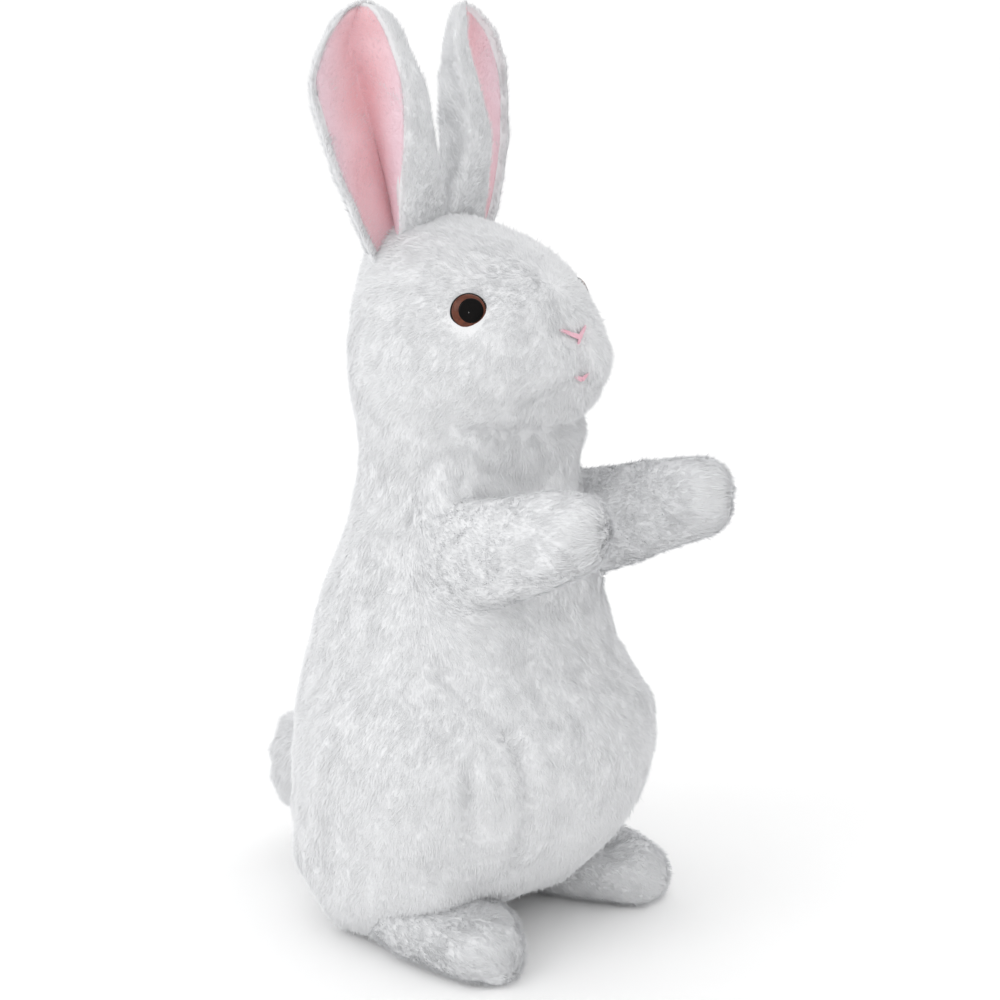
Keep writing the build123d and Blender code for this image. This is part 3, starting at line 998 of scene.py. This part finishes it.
def on_dome(at, out, s, shift, radius, lift):
    """A round layer on the dome of the eye, shifted towards the nose."""
    ahead = np.cross(out, (0, 0, 1)) * s
    ahead /= np.linalg.norm(ahead)
    up = np.cross(out, ahead)
    turn = np.linspace(0, 2 * math.pi, 48, endpoint=False)
    rings = []
    for k, r in enumerate([radius, *np.linspace(radius, 0.2, 9)]):
        u, v = shift + r * np.cos(turn), r * np.sin(turn)
        rise = EYE_DOME * np.sqrt(np.clip(1 - (u * u + v * v) / EYE_R ** 2, 0, 1)) + (lift if k else -0.5)
        rings.append(at + np.outer(u, ahead) + np.outer(v, up) + np.outer(rise, out))
    form = tube_form(np.array(rings), rings[0].mean(0), rings[-1].mean(0))
    form.outward()
    return form


for name, s in SIDES:
    out = np.array((s * EYE_OUT[0], EYE_OUT[1], EYE_OUT[2]))
    out /= np.linalg.norm(out)
    near = HEAD_FORM.p - np.array((s * EYE_AT[0], EYE_AT[1], EYE_AT[2]))
    depth = (near @ out)[np.linalg.norm(near - np.outer(near @ out, out), axis=1) < 4]
    at = np.array((s * EYE_AT[0], EYE_AT[1], EYE_AT[2])) + out * (depth.max() + EYE_STANDS - EYE_DOME)
    rim = skin_piece(name + "_eye_rim", turned_form(at, out, dome(EYE_R, EYE_DOME, EYE_DEEP)), PUPIL)
    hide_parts(name + "_eye")
    iris = skin_piece(name + "_iris", on_dome(at, out, s, 0.0, IRIS_R, IRIS_LIFT), IRIS)
    pupil = skin_piece(name + "_pupil", on_dome(at, out, s, PUPIL_SHIFT, PUPIL_R, PUPIL_LIFT), PUPIL)
    for piece in (rim, iris, pupil):
        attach(piece, "head")


# ---------------------------------------------------------------- nose and mouth
FACE = HEAD_FORM.p[HEAD_FORM.p[:, 1] < -30]


def front_of_head(x, z, over):
    """The point over the front of the head's cloth at a given x and height."""
    w = np.exp(-((FACE[:, 0] - x) ** 2 + (FACE[:, 2] - z) ** 2) / 1.5)
    return np.array((x, (w * FACE[:, 1]).sum() / w.sum() - over, z))


def thread(points):
    """One stitch: a thin closed tube with tapered ends."""
    path = catmull(points, THREAD_ROWS)
    last = THREAD_ROWS - 1
    turn = np.linspace(0, 2 * math.pi, 8, endpoint=False)
    rings = []
    for i, q in enumerate(path):
        along = path[min(i + 1, last)] - path[max(i - 1, 0)]
        along /= np.linalg.norm(along)
        a = np.cross(along, (0, 1, 0))
        a /= np.linalg.norm(a)
        b = np.cross(along, a)
        r = THREAD_R * (0.35 if i in (0, last) else 1)
        rings.append(q + r * (np.outer(np.cos(turn), a) + np.outer(np.sin(turn), b)))
    form = tube_form(np.array(rings), rings[0].mean(0), rings[-1].mean(0))
    form.outward()
    return form


def stitched(name, bars, replaced):
    """Bars of thread; a bar is its two ends (x, z), its width at each end and how far it stands out."""
    rng = np.random.default_rng(7)
    forms = []
    for (x0, z0), (x1, z1), wide0, wide1, over in bars:
        way = np.array((x1 - x0, z1 - z0))
        side = np.array((-way[1], way[0])) / np.linalg.norm(way)
        for k in np.linspace(-0.5, 0.5, 6):
            points = []
            for t in np.linspace(0, 1, 4):
                shift = side * (k * (wide0 + (wide1 - wide0) * t)) + rng.normal(size=2) * 0.08
                x, z = np.array((x0, z0)) + way * t + shift
                points.append(front_of_head(x, z, over - 1.2 * t * t + rng.normal() * 0.1))
            forms.append(thread(points))
    piece = skin_piece(name, joined(forms), PINK_THREAD)
    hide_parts(replaced)
    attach(piece, "head")


x, z = NOSE_AT
stitched("nose_thread", [
    ((x, z), (x - 6.8, z + 2.8), 1.2, 0.4, 1.3), ((x, z), (x + 6.8, z + 2.8), 1.2, 0.4, 1.3),
    ((x, z + 0.6), (x, z - 2.4), 1.3, 0.5, 1.3),
], "nose_stitching")
x, z = MOUTH_AT
stitched("mouth_thread", [
    ((x, z), (x - 4.2, z + 1.6), 1.1, 0.4, 1.2), ((x, z), (x + 4.2, z + 1.6), 1.1, 0.4, 1.2),
], "mouth_stitching")


# ---------------------------------------------------------------- hidden CAD parts that stay
for node, finish in (("left_eye_washer", NYLON), ("right_eye_washer", NYLON), ("pellet_bag", BAG_CLOTH)):
    part = bpy.data.objects.get(node)
    for slot in part.material_slots:
        slot.material = finish


# ---------------------------------------------------------------- stage, light and camera
# Metres, watts and degrees. A lamp is its place, what it points at, its power and its size.
LIGHT_FROM = (-0.45, 0.75, 0.5)   # the bright side of the room
ROOM_DIM = 0.36
ROOM_BRIGHT = 1.08
KEY_LAMP = ((-1.5, 0.35, 1.4), (0, 0, 0.16), 5.2, 1.2)
EYE_LAMP = ((-0.687, -0.548, 0.559), (-0.03, -0.035, 0.225), 0.14, 0.03)
CAMERA_AT = (-0.520, -0.459, 0.313)
CAMERA_AZIMUTH = -50
CAMERA_ELEVATION = 13.11
SENSOR = 36
FOCAL = 1.998          # lens length in sensor widths
FLOOR_REACH = 30.0


def stage():
    """A plain pale floor."""
    mesh = bpy.data.meshes.new("floor")
    reach = FLOOR_REACH
    mesh.from_pydata([(-reach, -reach, 0), (reach, -reach, 0), (reach, reach, 0), (-reach, reach, 0)],
                     [], [(0, 1, 2, 3)])
    floor = bpy.data.objects.new("floor", mesh)
    bpy.context.scene.collection.objects.link(floor)
    mesh.materials.append(material("floor_paper", (0.99, 0.99, 0.99), rough=0.95, specular=0.0))


def area_light(name, at, target, power, size):
    """A round soft lamp."""
    data = bpy.data.lights.new(name, "AREA")
    data.energy = power
    data.shape = "DISK"
    data.size = size
    lamp = bpy.data.objects.new(name, data)
    bpy.context.scene.collection.objects.link(lamp)
    lamp.location = at
    lamp.rotation_euler = (Vector(target) - Vector(at)).to_track_quat("-Z", "Y").to_euler()


def world_light():
    """A white room, darker on the side away from the key light."""
    world = bpy.data.worlds.new("studio")
    world.use_nodes = True
    tree = world.node_tree
    bg = tree.nodes["Background"]
    bg.inputs["Color"].default_value = (1, 1, 1, 1)
    where = tree.nodes.new("ShaderNodeTexCoord")
    dot = tree.nodes.new("ShaderNodeVectorMath")
    dot.operation = "DOT_PRODUCT"
    dot.inputs[1].default_value = Vector(LIGHT_FROM).normalized()
    spread = tree.nodes.new("ShaderNodeMapRange")
    spread.inputs["From Min"].default_value = -1.0
    spread.inputs["From Max"].default_value = -0.12
    spread.inputs["To Min"].default_value = ROOM_DIM
    spread.inputs["To Max"].default_value = ROOM_BRIGHT
    tree.links.new(where.outputs["Generated"], dot.inputs[0])
    tree.links.new(dot.outputs["Value"], spread.inputs["Value"])
    tree.links.new(spread.outputs["Result"], bg.inputs["Strength"])
    bpy.context.scene.world = world


def camera():
    """Seen from the rabbit's right front, a little above."""
    azimuth, elevation = math.radians(CAMERA_AZIMUTH), math.radians(CAMERA_ELEVATION)
    back = Vector((math.sin(azimuth) * math.cos(elevation), -math.cos(azimuth) * math.cos(elevation),
                   math.sin(elevation)))
    right = Vector((math.cos(azimuth), math.sin(azimuth), 0))
    up = back.cross(right)
    data = bpy.data.cameras.new("camera")
    data.sensor_width = SENSOR
    data.lens = SENSOR * FOCAL
    data.clip_start = 0.01
    cam = bpy.data.objects.new("camera", data)
    bpy.context.scene.collection.objects.link(cam)
    turn = Matrix((right, up, back)).transposed().to_4x4()
    cam.matrix_world = Matrix.Translation(CAMERA_AT) @ turn
    bpy.context.scene.camera = cam


stage()
world_light()
area_light("key", *KEY_LAMP)
area_light("eye light", *EYE_LAMP)
camera()
bpy.context.scene.view_settings.view_transform = "Standard"
